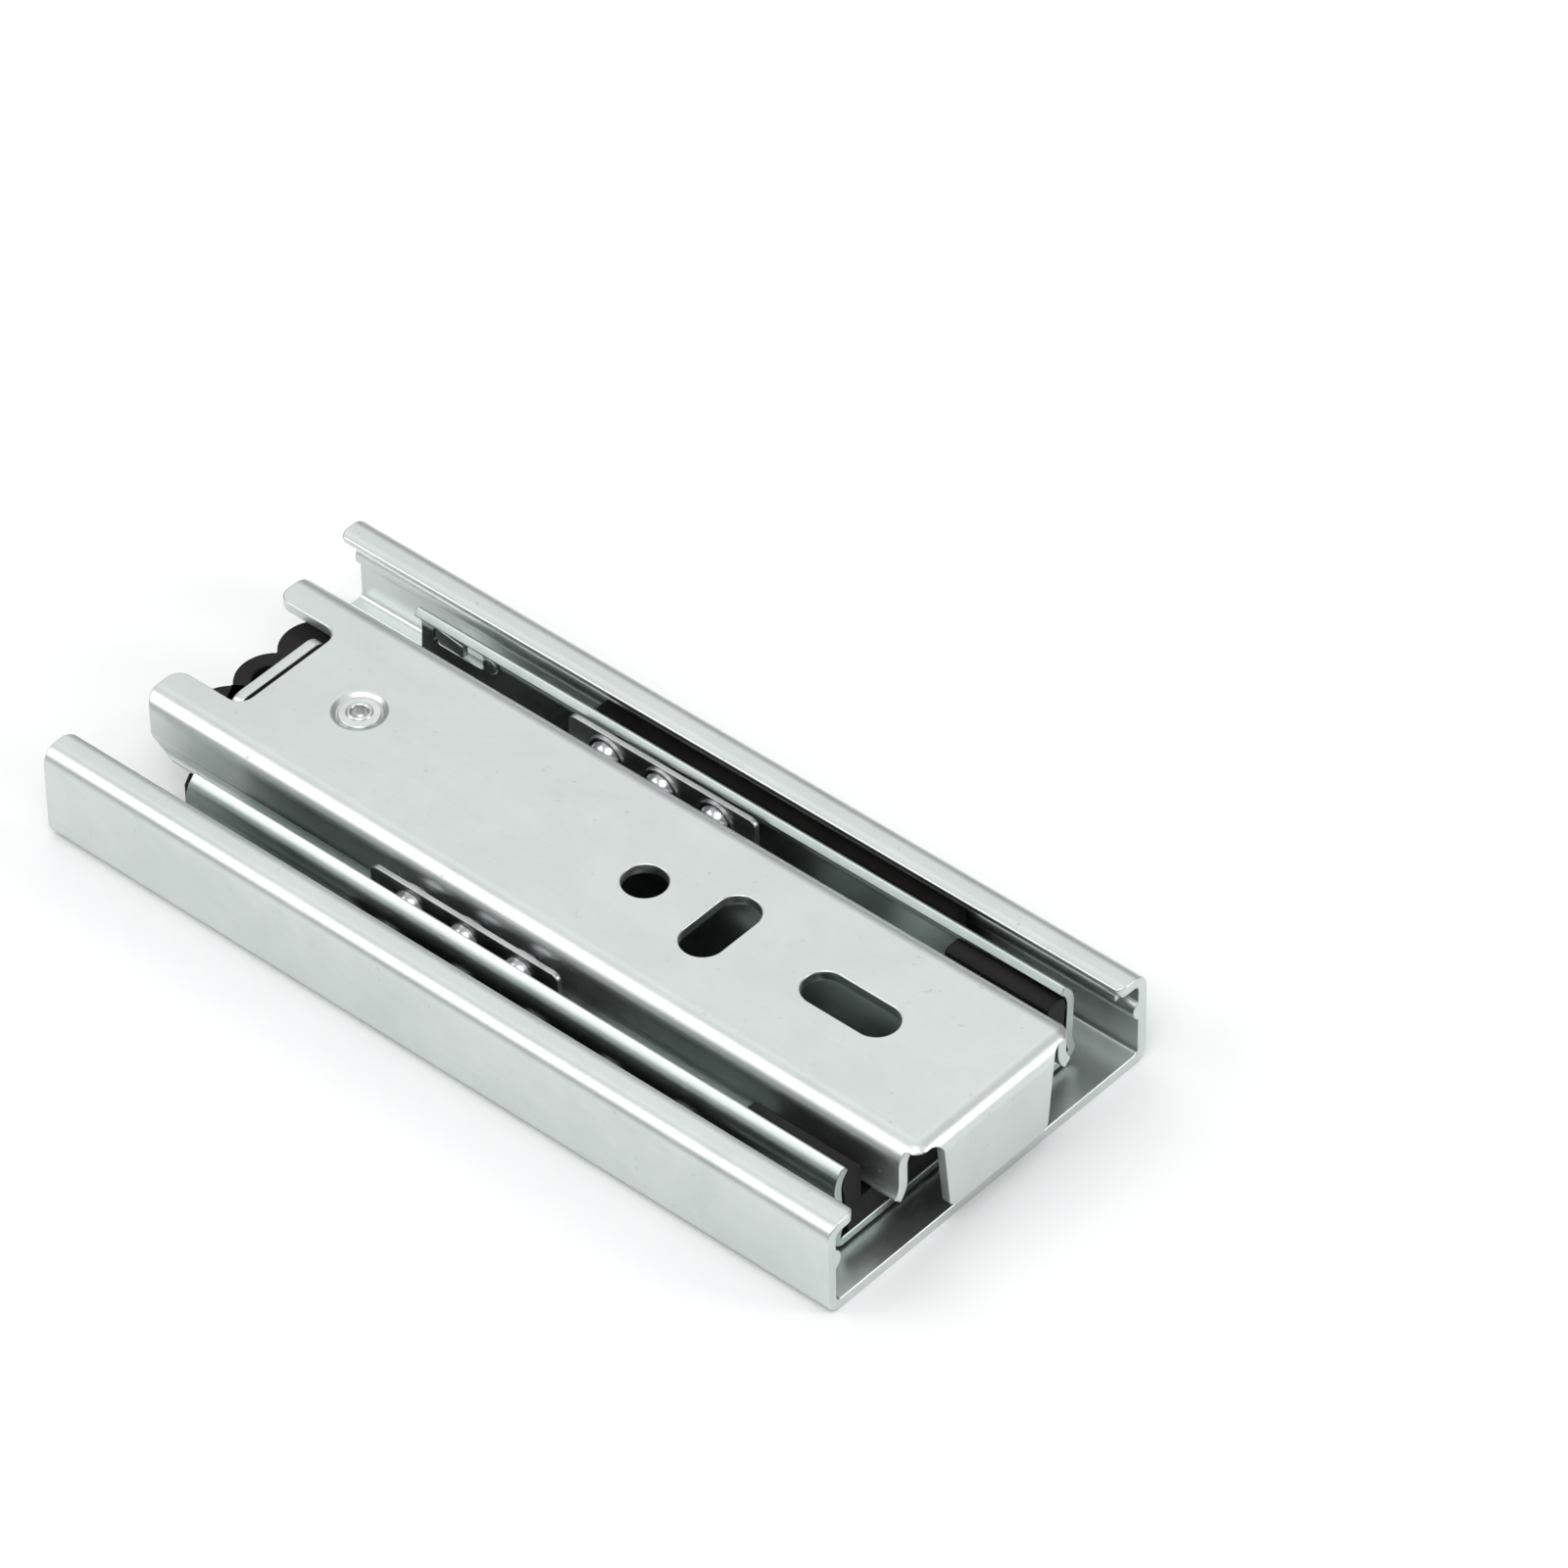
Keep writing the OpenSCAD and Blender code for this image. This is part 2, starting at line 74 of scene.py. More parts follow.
def startEdit(piece, kind="EDGE"):
    takeUp(piece)
    bpy.ops.object.mode_set(mode="EDIT")
    bpy.ops.mesh.select_mode(type=kind)
    bpy.ops.mesh.select_all(action="DESELECT")


# selects the vertices, edges or faces whose middle passes the test
def pick(piece, kind, test):
    bpy.ops.mesh.select_all(action="DESELECT")
    mesh = bmesh.from_edit_mesh(piece.data)
    if kind == "verts":
        chosen = [v for v in mesh.verts if test(v.co)]
    elif kind == "edges":
        chosen = [e for e in mesh.edges if test((e.verts[0].co + e.verts[1].co) / 2, e)]
    else:
        chosen = [f for f in mesh.faces if test(f.calc_center_median(), f)]
    for part in chosen:
        part.select_set(True)
    mesh.select_flush_mode()
    bmesh.update_edit_mesh(piece.data)
    return len(chosen)


def nameIt(name):
    piece = bpy.context.object
    piece.name = name
    piece.data.name = name
    bpy.ops.object.transform_apply(location=True, rotation=True, scale=True)
    return piece


def addBox(name, low, high):
    leaveEdit()
    middle = [(a + b) / 2 for a, b in zip(low, high)]
    size = [b - a for a, b in zip(low, high)]
    bpy.ops.mesh.primitive_cube_add(size=1, location=middle, scale=size)
    return nameIt(name)


def addSheet(name, middle, size, turn=(0, 0, 0)):
    leaveEdit()
    bpy.ops.mesh.primitive_plane_add(size=1, location=middle, rotation=turn)
    bpy.context.object.scale = (*size, 1)
    return nameIt(name)


# an upright rod, or one along X or Y
def addRod(name, middle, radius, length, along="Z", steps=48, tipRadius=None):
    leaveEdit()
    turn = {"Z": (0, 0, math.pi / steps), "Y": (math.pi / 2, 0, 0), "X": (0, math.pi / 2, 0)}[along]
    if tipRadius is None:
        bpy.ops.mesh.primitive_cylinder_add(
            vertices=steps, radius=radius, depth=length, location=middle, rotation=turn)
    else:
        bpy.ops.mesh.primitive_cone_add(
            vertices=steps, radius1=radius, radius2=tipRadius, depth=length, location=middle,
            rotation=turn)
    return nameIt(name)


# a rod drawn out into a slot: each half moves away from the middle
def addSlot(name, x, width, run, low, high, across=False):
    piece = addRod(name, (x, 0, (low + high) / 2), width / 2, high - low)
    reach = (run - width) / 2
    startEdit(piece, "VERT")
    for side in (-1, 1):
        if across:
            pick(piece, "verts", lambda v: v.y * side > 0)
            bpy.ops.transform.translate(value=(0, side * reach, 0))
        else:
            pick(piece, "verts", lambda v: (v.x - x) * side > 0)
            bpy.ops.transform.translate(value=(side * reach, 0, 0))
    leaveEdit()
    return piece


# bevels the edges of a piece that pass the test
def roundEdges(piece, radius, test, steps=8):
    startEdit(piece)
    pick(piece, "edges", test)
    bpy.ops.mesh.bevel(offset=radius, offset_type="OFFSET", segments=steps, profile=0.5,
                       affect="EDGES")
    leaveEdit()
    return piece


def along(edge, axis):
    line = (edge.verts[1].co - edge.verts[0].co).normalized()
    return abs(line[axis]) > 0.99


def applyModifier(piece, kind, **settings):
    takeUp(piece)
    bpy.ops.object.modifier_add(type=kind)
    modifier = piece.modifiers[-1]
    for key, value in settings.items():
        setattr(modifier, key, value)
    bpy.ops.object.modifier_apply(modifier=modifier.name)


def combine(piece, tool, operation):
    applyModifier(piece, "BOOLEAN", operation=operation, solver="EXACT", object=tool)
    bpy.data.objects.remove(tool)
    return piece


def cutAway(piece, *tools):
    for tool in tools:
        combine(piece, tool, "DIFFERENCE")
    return piece


def joinOn(piece, *tools):
    for tool in tools:
        combine(piece, tool, "UNION")
    return piece


def mirrorOver(piece):
    applyModifier(piece, "MIRROR", use_axis=(False, True, False), use_mirror_merge=True,
                  merge_threshold=1e-6)
    startEdit(piece)
    bpy.ops.mesh.select_all(action="SELECT")
    bpy.ops.mesh.normals_make_consistent(inside=False)
    leaveEdit()


# a copy on the other side of the centre plane
def otherSide(piece):
    takeUp(piece)
    bpy.ops.object.duplicate()
    copy = bpy.context.object
    startEdit(copy)
    bpy.ops.mesh.select_all(action="SELECT")
    bpy.ops.transform.resize(value=(1, -1, 1), center_override=(0, 0, 0))
    bpy.ops.mesh.normals_make_consistent(inside=False)
    leaveEdit()
    return copy


# sweeps what is selected round an axis, by the right-hand rule
def sweep(degrees, centre, axis, steps):
    bpy.ops.mesh.spin(steps=steps, angle=-math.radians(degrees), center=centre, axis=axis)


# Half a channel as a bent surface. Each bend is the height and distance of its centre, its
# radius, and the angles it starts and ends at, all on the middle of the sheet.
def bendSheet(name, bends, rear, front, step=7.5):
    y, z, radius, start, end = bends[0]
    flat = z + radius * math.sin(math.radians(start))
    piece = addSheet(name, ((rear + front) / 2, y / 2, flat), (front - rear, y))
    startEdit(piece)
    pick(piece, "edges", lambda m, e: m.y > y - tiny)
    here = Vector((0, y, flat))
    for y, z, radius, start, end in bends:
        there = Vector((0, y + radius * math.cos(math.radians(start)),
                        z + radius * math.sin(math.radians(start))))
        if (there - here).length > 1e-5:
            bpy.ops.mesh.extrude_edges_move(TRANSFORM_OT_translate={"value": there - here})
        sweep(end - start, (0, y, z), (1, 0, 0), max(2, round(abs(end - start) / step)))
        here = Vector((0, y + radius * math.cos(math.radians(end)),
                       z + radius * math.sin(math.radians(end))))
    bpy.ops.mesh.select_all(action="SELECT")
    bpy.ops.mesh.remove_doubles(threshold=2e-6)
    leaveEdit()
    return piece


def thicken(piece, sheet):
    mirrorOver(piece)
    applyModifier(piece, "SOLIDIFY", thickness=sheet, offset=0, use_even_offset=True,
                  use_rim=True)
    startEdit(piece)
    bpy.ops.mesh.select_all(action="SELECT")
    bpy.ops.mesh.normals_make_consistent(inside=False)
    leaveEdit()


# cleans up, rounds the edges, shades, paints the piece, parents it to its body and hides the CAD part it
# stands in for
def finishPiece(piece, node, body, material, edge, steps=3, limit=32,
                merge=0.002 * mm):
    startEdit(piece)
    bpy.ops.mesh.select_all(action="SELECT")
    bpy.ops.mesh.remove_doubles(threshold=merge)
    bpy.ops.mesh.dissolve_limited(angle_limit=math.radians(0.4))
    leaveEdit()
    applyModifier(piece, "BEVEL", width=edge, segments=steps, limit_method="ANGLE",
                  angle_limit=math.radians(limit), use_clamp_overlap=False,
                  miter_outer="MITER_ARC")
    takeUp(piece)
    bpy.ops.object.shade_smooth_by_angle(angle=math.radians(48))
    applyModifier(piece, "WEIGHTED_NORMAL", mode="FACE_AREA", weight=60, keep_sharp=True)
    piece.data.materials.clear()
    piece.data.materials.append(material)
    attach(piece, body)
    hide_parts(node)
    print("made", piece.name, len(piece.data.polygons), "faces")
    return piece


class Wire:
    def __init__(self, paint, socket):
        self.paint = paint
        self.socket = socket

    def sum(self, operation, other, flipped=False):
        first, second = (other, self) if flipped else (self, other)
        return self.paint.node("ShaderNodeMath", {"operation": operation}, {0: first, 1: second})

    def __add__(self, other):
        return self.sum("ADD", other)

    def __radd__(self, other):
        return self.sum("ADD", other, True)

    def __sub__(self, other):
        return self.sum("SUBTRACT", other)

    def __rsub__(self, other):
        return self.sum("SUBTRACT", other, True)

    def __mul__(self, other):
        return self.sum("MULTIPLY", other)

    def __rmul__(self, other):
        return self.sum("MULTIPLY", other, True)

    def __pow__(self, other):
        return self.sum("POWER", other)


class Paint:
    def __init__(self, name):
        self.material = bpy.data.materials.new(name)
        self.material.use_nodes = True
        self.tree = self.material.node_tree
        self.tree.nodes.clear()
        self.place = self.node("ShaderNodeTexCoord", {}, {}, "Object")

    # any node: its type, its settings, then the values or wires of its inputs
    def node(self, kind, settings=None, inputs=None, output=0):
        made = self.tree.nodes.new(kind)
        for key, value in (settings or {}).items():
            if key == "stops":
                ramp = made.color_ramp
                while len(ramp.elements) < len(value):
                    ramp.elements.new(0.5)
                for element, (position, tone) in zip(ramp.elements, value):
                    element.position = position
                    element.color = (tone, tone, tone, 1)
            else:
                setattr(made, key, value)
        for key, value in (inputs or {}).items():
            socket = made.inputs[key]
            if isinstance(value, Wire):
                self.tree.links.new(value.socket, socket)
            else:
                socket.default_value = value
        return Wire(self, made.outputs[output])

    def stretched(self, scale, turn=(0, 0, 0)):
        return self.node("ShaderNodeMapping", {}, {
            "Vector": self.place, "Scale": scale, "Rotation": turn})

    def noise(self, scale, detail=3, roughness=0.55, turn=(0, 0, 0), distortion=0):
        return self.node("ShaderNodeTexNoise", {}, {
            "Vector": self.stretched(scale, turn), "Scale": 1, "Detail": detail,
            "Roughness": roughness, "Distortion": distortion})

    def ramp(self, value, low, high, dark=0.0, light=1.0):
        return self.node("ShaderNodeMapRange", {}, {
            "Value": value, "From Min": low, "From Max": high, "To Min": dark, "To Max": light})

    def blend(self, mask, first, second):
        made = self.tree.nodes.new("ShaderNodeMix")
        made.data_type = "RGBA"
        for index, value in ((0, mask), (6, first), (7, second)):
            if isinstance(value, Wire):
                self.tree.links.new(value.socket, made.inputs[index])
            elif index == 0:
                made.inputs[index].default_value = value
            else:
                made.inputs[index].default_value = (*value, 1)
        return Wire(self, made.outputs[2])

    def bump(self, height, strength, distance):
        return self.node("ShaderNodeBump", {}, {
            "Height": height, "Strength": strength, "Distance": distance})

    def finish(self, **inputs):
        shader = self.node("ShaderNodeBsdfPrincipled", {}, {
            key.replace("_", " "): value for key, value in inputs.items()})
        output = self.tree.nodes.new("ShaderNodeOutputMaterial")
        self.tree.links.new(shader.socket, output.inputs["Surface"])
        return self.material


# rolled strip, bright zinc plated: long grain, cloudy plate, fine scuffs and a few specks
def zincPlate(name, look):
    paint = Paint(name)
    grain = paint.noise((look["grainLong"], look["grainFine"], look["grainFine"]), 4, 0.6)
    broad = paint.noise((look["grainLong"] * 0.4, look["grainFine"] * 0.15,
                         look["grainFine"] * 0.15), 2, 0.5)
    cloud = paint.noise((look["cloud"],) * 3, 4, 0.6, distortion=0.6)
    mottle = paint.noise((look["mottle"],) * 3, 3, 0.6)
    scuffOne = paint.noise((90, 5200, 5200), 2, 0.5, turn=(0, 0, 0.5))
    scuffTwo = paint.noise((120, 6100, 6100), 2, 0.5, turn=(0.2, 0.1, -0.9))
    patch = paint.ramp(paint.noise((140, 140, 140), 2), 0.48, 0.62)
    scuffs = (paint.ramp(scuffOne, 0.66, 0.74) + paint.ramp(scuffTwo, 0.67, 0.75)) * patch
    specks = paint.ramp(paint.noise((1300, 1300, 1300), 1, 0.4), 0.745, 0.79)
    tone = cloud * 0.55 + mottle * 0.2 + grain * 0.15 + broad * 0.1
    colour = paint.blend(paint.ramp(tone, 0.36, 0.64), look["dark"], look["light"])
    colour = paint.blend(scuffs * look["scuffs"], colour, look["bright"])
    colour = paint.blend(specks * look["specks"], colour, look["speck"])
    rough = look["roughness"] + (tone - 0.5) * look["roughSpread"] + scuffs * 0.12 + specks * 0.2
    height = grain * 0.55 + mottle * 0.25 + broad * 0.3 - specks * 0.6 - scuffs * 0.35
    return paint.finish(
        Base_Color=colour, Metallic=1.0, Roughness=rough,
        Normal=paint.bump(height, look["bump"], 0.02 * mm))


# polished or drawn steel
def brightSteel(name, look):
    paint = Paint(name)
    cloud = paint.noise((look["cloud"],) * 3, 3, 0.55)
    fine = paint.noise((look["fine"],) * 3, 3, 0.6)
    marks = paint.ramp(paint.noise((300, 4200, 900), 2, turn=(0.4, 0.7, 0.3)), 0.66, 0.76)
    colour = paint.blend(paint.ramp(cloud, 0.35, 0.65), look["dark"], look["light"])
    rough = look["roughness"] + (cloud - 0.5) * look["roughSpread"] + marks * 0.1
    return paint.finish(
        Base_Color=colour, Metallic=1.0, Roughness=rough,
        Normal=paint.bump(fine * 0.5 - marks * 0.4, look["bump"], 0.01 * mm))


# moulded plastic or rubber with a faint spark-eroded grain and pale rubbed dust
def mouldedBlack(name, look):
    paint = Paint(name)
    cell = paint.noise((look["grain"],) * 3, 3, 0.6)
    cloud = paint.noise((look["cloud"],) * 3, 3, 0.55)
    flow = paint.noise((120, 700, 700), 2, 0.5)
    dust = paint.ramp(paint.noise((700, 700, 700), 4, 0.7), 0.56, 0.75)
    colour = paint.blend(paint.ramp(cloud * 0.6 + flow * 0.4, 0.35, 0.65), look["dark"],
                         look["light"])
    colour = paint.blend(dust * look["dustShare"], colour, look["dust"])
    rough = look["roughness"] + (cell - 0.5) * look["roughSpread"] + dust * 0.1
    return paint.finish(
        Base_Color=colour, Metallic=0.0, Roughness=rough, Specular_IOR_Level=look["specular"],
        Normal=paint.bump(cell * 0.7 + flow * 0.3, look["bump"], 0.03 * mm))


zincLook = dict(
    grainLong=70, grainFine=2600, cloud=95, mottle=420, scuffs=0.35, specks=0.1,
    dark=(0.60, 0.64, 0.627), light=(0.68, 0.715, 0.702), bright=(0.84, 0.86, 0.85),
    speck=(0.36, 0.38, 0.37), roughness=0.36, roughSpread=0.16, bump=0.34)
zinc = zincPlate("zincPlate", zincLook)
# a darker copy of the same zinc plate for the intermediate member: its lower tones are painted shade for
# the dim inside of the channel
zincShadedInside = zincPlate("zincPlateShadedInside", dict(
    zincLook, grainLong=55, cloud=120, dark=(0.40, 0.455, 0.435), light=(0.53, 0.58, 0.56),
    roughness=0.30))
cageSteel = brightSteel("cageSteel", dict(
    cloud=260, fine=3000, dark=(0.34, 0.355, 0.35), light=(0.48, 0.50, 0.49), roughness=0.30,
    roughSpread=0.2, bump=0.2))
ballSteel = brightSteel("ballSteel", dict(
    cloud=500, fine=5200, dark=(0.42, 0.43, 0.44), light=(0.52, 0.53, 0.54), roughness=0.2,
    roughSpread=0.06, bump=0.03))
rivetSteel = brightSteel("rivetSteel", dict(
    cloud=420, fine=1400, dark=(0.60, 0.62, 0.615), light=(0.72, 0.74, 0.735), roughness=0.32,
    roughSpread=0.1, bump=0.015))
blackPlastic = mouldedBlack("blackPlastic", dict(
    grain=3600, cloud=160, dark=(0.006, 0.006, 0.006), light=(0.013, 0.013, 0.012),
    dust=(0.05, 0.05, 0.047), dustShare=0.08, roughness=0.5, roughSpread=0.2, specular=0.16,
    bump=0.2))
blackRubber = mouldedBlack("blackRubber", dict(
    grain=2600, cloud=180, dark=(0.006, 0.006, 0.006), light=(0.012, 0.012, 0.011),
    dust=(0.05, 0.05, 0.047), dustShare=0.08, roughness=0.5, roughSpread=0.2, specular=0.2,
    bump=0.2))
print("materials made")


cabinetLow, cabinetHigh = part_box("cabinet_member")
cabinet = dict(
    sheet=1.2 * mm, cornerRadius=1.15 * mm, lipHeight=11.1 * mm, lipRadius=1.3 * mm,
    lipReach=3.7 * mm, lipCurlRadius=1.5 * mm, lipCurl=30, lipCorner=1.6 * mm,
    ridgeRadius=1.3 * mm, ridgeHeight=6.65 * mm, ridgeDepth=0.6 * mm, tabFromRear=9.6 * mm,
    tabWidth=12.6 * mm, tabBend=1.2 * mm, tabCorner=1.6 * mm, reliefWidth=1.2 * mm,
    webMargin=2.9 * mm, stopFromFront=2.9 * mm, stopSize=1.2 * mm, stopReach=1.4 * mm,
    holeRadius=2.3 * mm, holePitch=32 * mm, holeFromFront=37 * mm, slotRun=11 * mm, crossRun=9.5 * mm,
    slotOffset=18 * mm, edge=0.16 * mm)


def boxBetween(name, x, y, z):
    return addBox(name, (min(x), min(y), min(z)), (max(x), max(y), max(z)))


# what a square upright corner loses when it is rounded; the ways point out of the corner
def cornerWaste(x, y, wayX, wayY, radius, low, high):
    waste = boxBetween("waste", (x - wayX * radius, x + wayX * radius),
                       (y - wayY * radius, y + wayY * radius), (low, high))
    block = boxBetween("block", (x - wayX * 3 * radius, x), (y - wayY * 3 * radius, y),
                       (low - radius, high + radius))
    roundEdges(block, radius, lambda m, e: along(e, 2) and abs(m.x - x) < tiny
               and abs(m.y - y) < tiny)
    return cutAway(waste, block)


def makeCabinet(c):
    t = c["sheet"]
    width, height = cabinetHigh.y, c["lipHeight"]
    tabHeight = cabinetHigh.z
    rear, front = cabinetLow.x, cabinetHigh.x
    bends = [
        (width - t / 2 - c["cornerRadius"], t / 2 + c["cornerRadius"], c["cornerRadius"], -90, 0),
        (width - t / 2 - c["lipRadius"], height - t / 2 - c["lipRadius"], c["lipRadius"], 0, 90),
        (width - c["lipReach"] + c["lipCurlRadius"] * math.sin(math.radians(c["lipCurl"])),
         height - t / 2 - c["lipCurlRadius"], c["lipCurlRadius"], 90, 90 + c["lipCurl"])]
    piece = bendSheet("cabinetChannel", bends, rear, front)
    thicken(piece, t)

    # the bead that closes the ball race from above
    wall = width - t
    bead = addRod("bead", (0, wall + c["ridgeDepth"], c["ridgeHeight"]), c["ridgeRadius"],
                  front - rear, along="X", steps=40)
    startEdit(bead)
    bpy.ops.mesh.select_all(action="SELECT")
    bpy.ops.mesh.bisect(plane_co=(0, wall + t / 3, 0), plane_no=(0, 1, 0), use_fill=True,
                        clear_outer=True)
    leaveEdit()
    joinOn(piece, otherSide(bead), bead)

    # the lips' inner corners are round
    lipEdge = width - c["lipReach"] - t / 2
    for x, wayX in ((front, 1), (rear, -1)):
        for side in (-1, 1):
            cutAway(piece, cornerWaste(x, side * lipEdge, wayX, -side, c["lipCorner"],
                                       height - 2.5 * t, height + t))

    # the web ends at the tab, and the flanges run on
    tabX = rear + c["tabFromRear"]
    reach = width - c["webMargin"]
    opening = addBox("opening", (rear - 4 * mm, -reach, -t), (tabX + t, reach, 1.5 * t))
    roundEdges(opening, 1.5 * mm, lambda m, e: along(e, 2) and m.x > tabX)
    cutAway(piece, opening)
    for side in (-1, 1):
        inner = side * c["tabWidth"] / 2
        outer = inner + side * c["reliefWidth"]
        relief = addBox("relief", (tabX - t, min(inner, outer), -t),
                        (tabX + 2.4 * mm, max(inner, outer), 1.5 * t))
        roundEdges(relief, 0.55 * mm, lambda m, e: along(e, 2) and m.x > tabX)
        cutAway(piece, relief)

    # the tab: a strip bent up from the web, with round top corners
    half = c["tabWidth"] / 2
    bendX = tabX + c["tabBend"]
    tab = addSheet("tab", (bendX + 0.8 * mm, 0, t / 2), (1.6 * mm, 2 * half))
    startEdit(tab)
    pick(tab, "edges", lambda m, e: m.x < bendX + tiny)
    sweep(90, (bendX, 0, t / 2 + c["tabBend"]), (0, 1, 0), 10)
    rise = tabHeight - t / 2 - c["tabBend"]
    bpy.ops.mesh.extrude_edges_move(TRANSFORM_OT_translate={"value": (0, 0, rise)})
    leaveEdit()
    applyModifier(tab, "SOLIDIFY", thickness=t, offset=0, use_even_offset=True)
    roundEdges(tab, c["tabCorner"], lambda m, e: along(e, 0) and m.z > tabHeight - tiny)
    joinOn(piece, tab)

    # lanced stops that end the outer retainers' travel
    stopX = front - c["stopFromFront"]
    for side in (-1, 1):
        inner, outer = side * (wall - c["stopReach"]), side * (wall + t / 4)
        stop = addBox("stop", (stopX, min(inner, outer), c["ridgeHeight"] + 1.1 * mm),
                      (stopX + c["stopSize"], max(inner, outer), c["ridgeHeight"] + 1.9 * mm))
        joinOn(piece, stop)

    middle = front - c["holeFromFront"]
    for step in (0, 1):
        cutAway(piece, addRod("hole", (middle - step * c["holePitch"], 0, 0), c["holeRadius"],
                              4 * t))
    cutAway(
        piece,
        addSlot("slot", middle + c["slotOffset"], 2 * c["holeRadius"], c["slotRun"], -t, 2 * t),
        addSlot("slot", middle - c["slotOffset"], 2 * c["holeRadius"], c["crossRun"], -t, 2 * t,
                across=True))
    return finishPiece(piece, "cabinet_member", "cabinet", zinc, c["edge"])


makeCabinet(cabinet)


middleLow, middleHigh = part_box("intermediate_member")
innerBallLow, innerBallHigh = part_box("inner_ball_left_1")
outerBallLow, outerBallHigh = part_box("outer_ball_left_1")
innerBall = (innerBallLow + innerBallHigh) / 2
outerBall = (outerBallLow + outerBallHigh) / 2
innerRadius = (innerBallHigh.z - innerBallLow.z) / 2
outerRadius = (outerBallHigh.z - outerBallLow.z) / 2
intermediate = dict(
    sheet=1.0 * mm, play=0.1 * mm, webBend=0.8 * mm, flare=20, curl=57,
    windowFromRear=2.2 * mm, windowRun=6 * mm, windowHeight=2.4 * mm, slotX=-6 * mm,
    slotWidth=9 * mm, slotRun=18 * mm, pegRadius=1.5 * mm, pegFromFront=2.1 * mm, edge=0.15 * mm)


def makeIntermediate(c):
    t = c["sheet"]
    innerRace = innerRadius + c["play"] + t / 2
    outerRace = outerRadius + c["play"] + t / 2
    gap = Vector((0, outerBall.y - innerBall.y, outerBall.z - innerBall.z))
    tangent = math.degrees(math.atan2(gap.z, gap.y) + math.acos((innerRace + outerRace) / gap.length))
    webZ = middleLow.z + t / 2
    joinAngle = math.radians(180 + c["flare"])
    joinY = outerBall.y + outerRace * math.cos(joinAngle)
    joinZ = outerBall.z + outerRace * math.sin(joinAngle)
    flare = math.radians(c["flare"])
    bendZ = webZ + c["webBend"]
    lead = (joinZ - c["webBend"] * math.sin(flare) - bendZ) / math.cos(flare)
    bends = [
        (joinY - c["webBend"] * math.cos(flare) + lead * math.sin(flare), bendZ, c["webBend"],
         -90, c["flare"]),
        (outerBall.y, outerBall.z, outerRace, 180 + c["flare"], 180 + tangent),
        (innerBall.y, innerBall.z, innerRace, tangent, c["curl"])]
    piece = bendSheet("intermediateChannel", bends, middleLow.x, middleHigh.x)
    thicken(piece, t)

    cutAway(
        piece,
        addSlot("accessSlot", c["slotX"], c["slotWidth"], c["slotRun"], 0, 4 * mm),
        addRod("pegHole", (middleHigh.x - c["pegFromFront"], 0, webZ), c["pegRadius"], 4 * t))

    # a window in the left flange, with a tongue bent in and a dimple beside it
    faceY = innerBall.y + innerRadius + c["play"]
    windowX = middleLow.x + c["windowFromRear"]
    low = innerBall.z - c["windowHeight"] / 2
    window = addBox("window", (windowX, innerBall.y + 1 * mm, low),
                    (windowX + c["windowRun"], innerBall.y + 5 * mm, low + c["windowHeight"]))
    roundEdges(window, 0.3 * mm, lambda m, e: along(e, 1), steps=4)
    cutAway(piece, window)
    tongue = addBox("tongue", (windowX - 0.4 * mm, faceY - 0.5 * mm, innerBall.z - 0.8 * mm),
                    (windowX + 3.8 * mm, faceY + 0.3 * mm, innerBall.z + 0.8 * mm))
    startEdit(tongue, "VERT")
    pick(tongue, "verts", lambda v: v.x < windowX)
    bpy.ops.transform.translate(value=(0, 0.45 * mm, 0))
    leaveEdit()
    dimple = addRod("dimple", (windowX + c["windowRun"] + 1.1 * mm, faceY, innerBall.z),
                    0.9 * mm, 0.7 * mm, along="Y", steps=24)
    joinOn(piece, tongue, dimple)
    # the darker zinc copy paints the shade inside the channel onto this member
    return finishPiece(piece, "intermediate_member", "intermediate", zincShadedInside,
                       c["edge"])


makeIntermediate(intermediate)


drawerLow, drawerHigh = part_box("drawer_member")
drawer = dict(
    sheet=1.2 * mm, play=0.05 * mm, topBend=1.8 * mm, seamDrop=0.1 * mm, flare=48,
    flapBend=1.4 * mm, flapHalf=7.9 * mm, flapTaper=1.0 * mm, flapCorner=0.8 * mm,
    archDrop=0.7 * mm, archRadius=1.3 * mm, notchHalf=6.85 * mm, notchDepth=8.3 * mm,
    notchCorner=1.6 * mm, armCorner=1.6 * mm, armRoom=0.15 * mm, roundHoleX=7.3 * mm,
    crossSlotX=16.8 * mm, longSlotX=33 * mm, holeWidth=4.6 * mm, crossRun=9.5 * mm,
    longRun=11 * mm, rivetX=-29.5 * mm, dimpleRadius=2.8 * mm, dimpleFloor=2.3 * mm, dimpleDepth=0.4 * mm,
    rivetHole=1.51 * mm, edge=0.17 * mm, merge=0.045 * mm)
waist = innerBall.y - innerRadius - drawer["play"]


# a block with the plate's side bends and front bend, set in from every outer face
def plateBlock(c, rear, inset):
    low, front, top = drawerLow.z - inset, drawerHigh.x - inset, drawerHigh.z - inset
    side = waist - inset
    block = addBox("plateBlock", (rear, -side, low), (front, side, top))
    roundEdges(block, c["topBend"] + c["sheet"] / 2 - inset,
               lambda m, e: along(e, 0) and m.z > top - tiny, steps=12)
    return roundEdges(block, c["flapBend"] + c["sheet"] / 2 - inset,
                      lambda m, e: abs(m.x - front) < tiny and m.z > low + tiny, steps=12)


